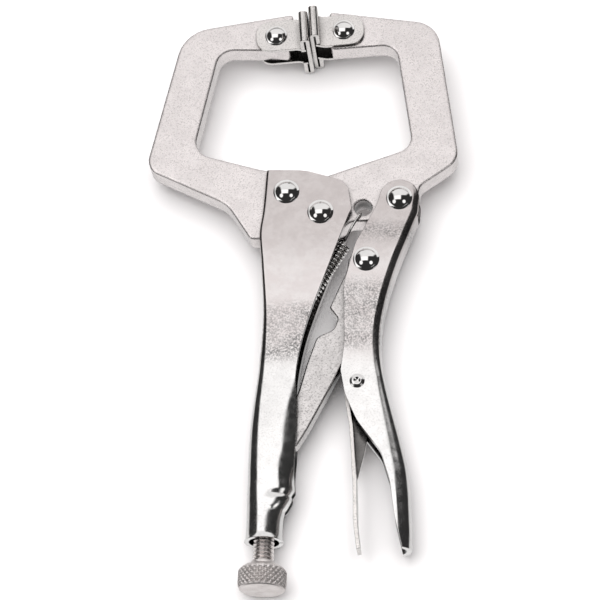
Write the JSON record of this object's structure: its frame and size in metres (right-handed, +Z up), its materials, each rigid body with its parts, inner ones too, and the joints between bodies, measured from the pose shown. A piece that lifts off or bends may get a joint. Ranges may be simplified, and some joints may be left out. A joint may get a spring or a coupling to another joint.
{
  "type": "locking pliers",
  "caption": "Locking C-clamp pliers: C-shaped jaws with swivel pads, an over-centre lever and link, a release lever and a knurled adjusting screw.",
  "frame": {"origin": "middle of the clamping gap between the pads, at mid-thickness", "axes": "+Y from the knob towards the pads, +X from the fixed jaw to the movable jaw, +Z up through the thickness"},
  "size_m": [0.1412, 0.2806, 0.032],
  "materials": {
    "jaw_plate": "satin nickel plate on forged steel",
    "handle_plate": "bright nickel plate on bent sheet steel",
    "link_plate": "satin nickel plate",
    "screw_plate": "satin nickel plate, knurled knob",
    "spring_wire": "drawn spring wire",
    "pad_plate": "bright nickel plate on folded sheet",
    "rivet_chrome": "polished domed heads"
  },
  "bodies": {
    "handle": {"fixed_handle": "handle_plate", "fixed_jaw": "jaw_plate", "fixed_jaw_rivet": "rivet_chrome", "jaw_pivot_rivet": "rivet_chrome", "tension_spring": "spring_wire"},
    "jaw": {"movable_jaw": "jaw_plate"},
    "lever": {"lever": "handle_plate", "lever_pivot_rivet": "rivet_chrome", "link_rivet": "rivet_chrome", "release_lever_rivet": "rivet_chrome"},
    "link": {"toggle_link": "link_plate"},
    "release": {"release_lever": "link_plate"},
    "screw": {"adjusting_screw": "screw_plate"},
    "knob": {"adjusting_knob": "screw_plate"},
    "fixed_pad": {"fixed_pad": "pad_plate", "fixed_pad_rivet": "rivet_chrome"},
    "moving_pad": {"moving_pad": "pad_plate", "moving_pad_rivet": "rivet_chrome"}
  },
  "joints": [
    {"name": "jaw_swing", "type": "hinge", "parent": "handle", "child": "jaw", "pos_m": [0.0084, -0.0928, 0], "axis": [0, 0, 1], "range_deg": [-26, 0], "deforming": ["tension_spring"]},
    {"name": "lever_swing", "type": "hinge", "parent": "jaw", "child": "lever", "pos_m": [0.0438, -0.0859, 0], "axis": [0, 0, 1], "range_deg": [0, 75]},
    {"name": "link_swing", "type": "hinge", "parent": "lever", "child": "link", "pos_m": [0.0298, -0.1162, 0], "axis": [0, 0, 1], "range_deg": [-70, 0]},
    {"name": "release_swing", "type": "hinge", "parent": "lever", "child": "release", "pos_m": [0.0276, -0.175, 0], "axis": [0, 0, 1], "range_deg": [0, 8]},
    {"name": "screw_feed", "type": "slide", "parent": "handle", "child": "screw", "axis": [0, -1, 0], "range_m": [0, 0.025]},
    {"name": "knob_spin", "type": "hinge", "parent": "screw", "child": "knob", "pos_m": [-0.0109, -0.26, 0], "axis": [0, -1, 0], "range_deg": [0, 5142.86]},
    {"name": "fixed_pad_swivel", "type": "hinge", "parent": "handle", "child": "fixed_pad", "pos_m": [-0.01563, -0.00145, 0], "axis": [0, 0, 1], "range_deg": [-13, 0]},
    {"name": "moving_pad_swivel", "type": "hinge", "parent": "jaw", "child": "moving_pad", "pos_m": [0.01563, 0.00145, 0], "axis": [0, 0, 1], "range_deg": [0, 13]}
  ],
  "couplings": [
    {"joint": "lever_swing", "follows": "jaw_swing", "ratio": -2.8846},
    {"joint": "link_swing", "follows": "jaw_swing", "ratio": 2.6923},
    {"joint": "fixed_pad_swivel", "follows": "jaw_swing", "ratio": 0.5},
    {"joint": "moving_pad_swivel", "follows": "jaw_swing", "ratio": -0.5},
    {"joint": "knob_spin", "follows": "screw_feed", "rad_per_m": 3590.4}
  ]
}
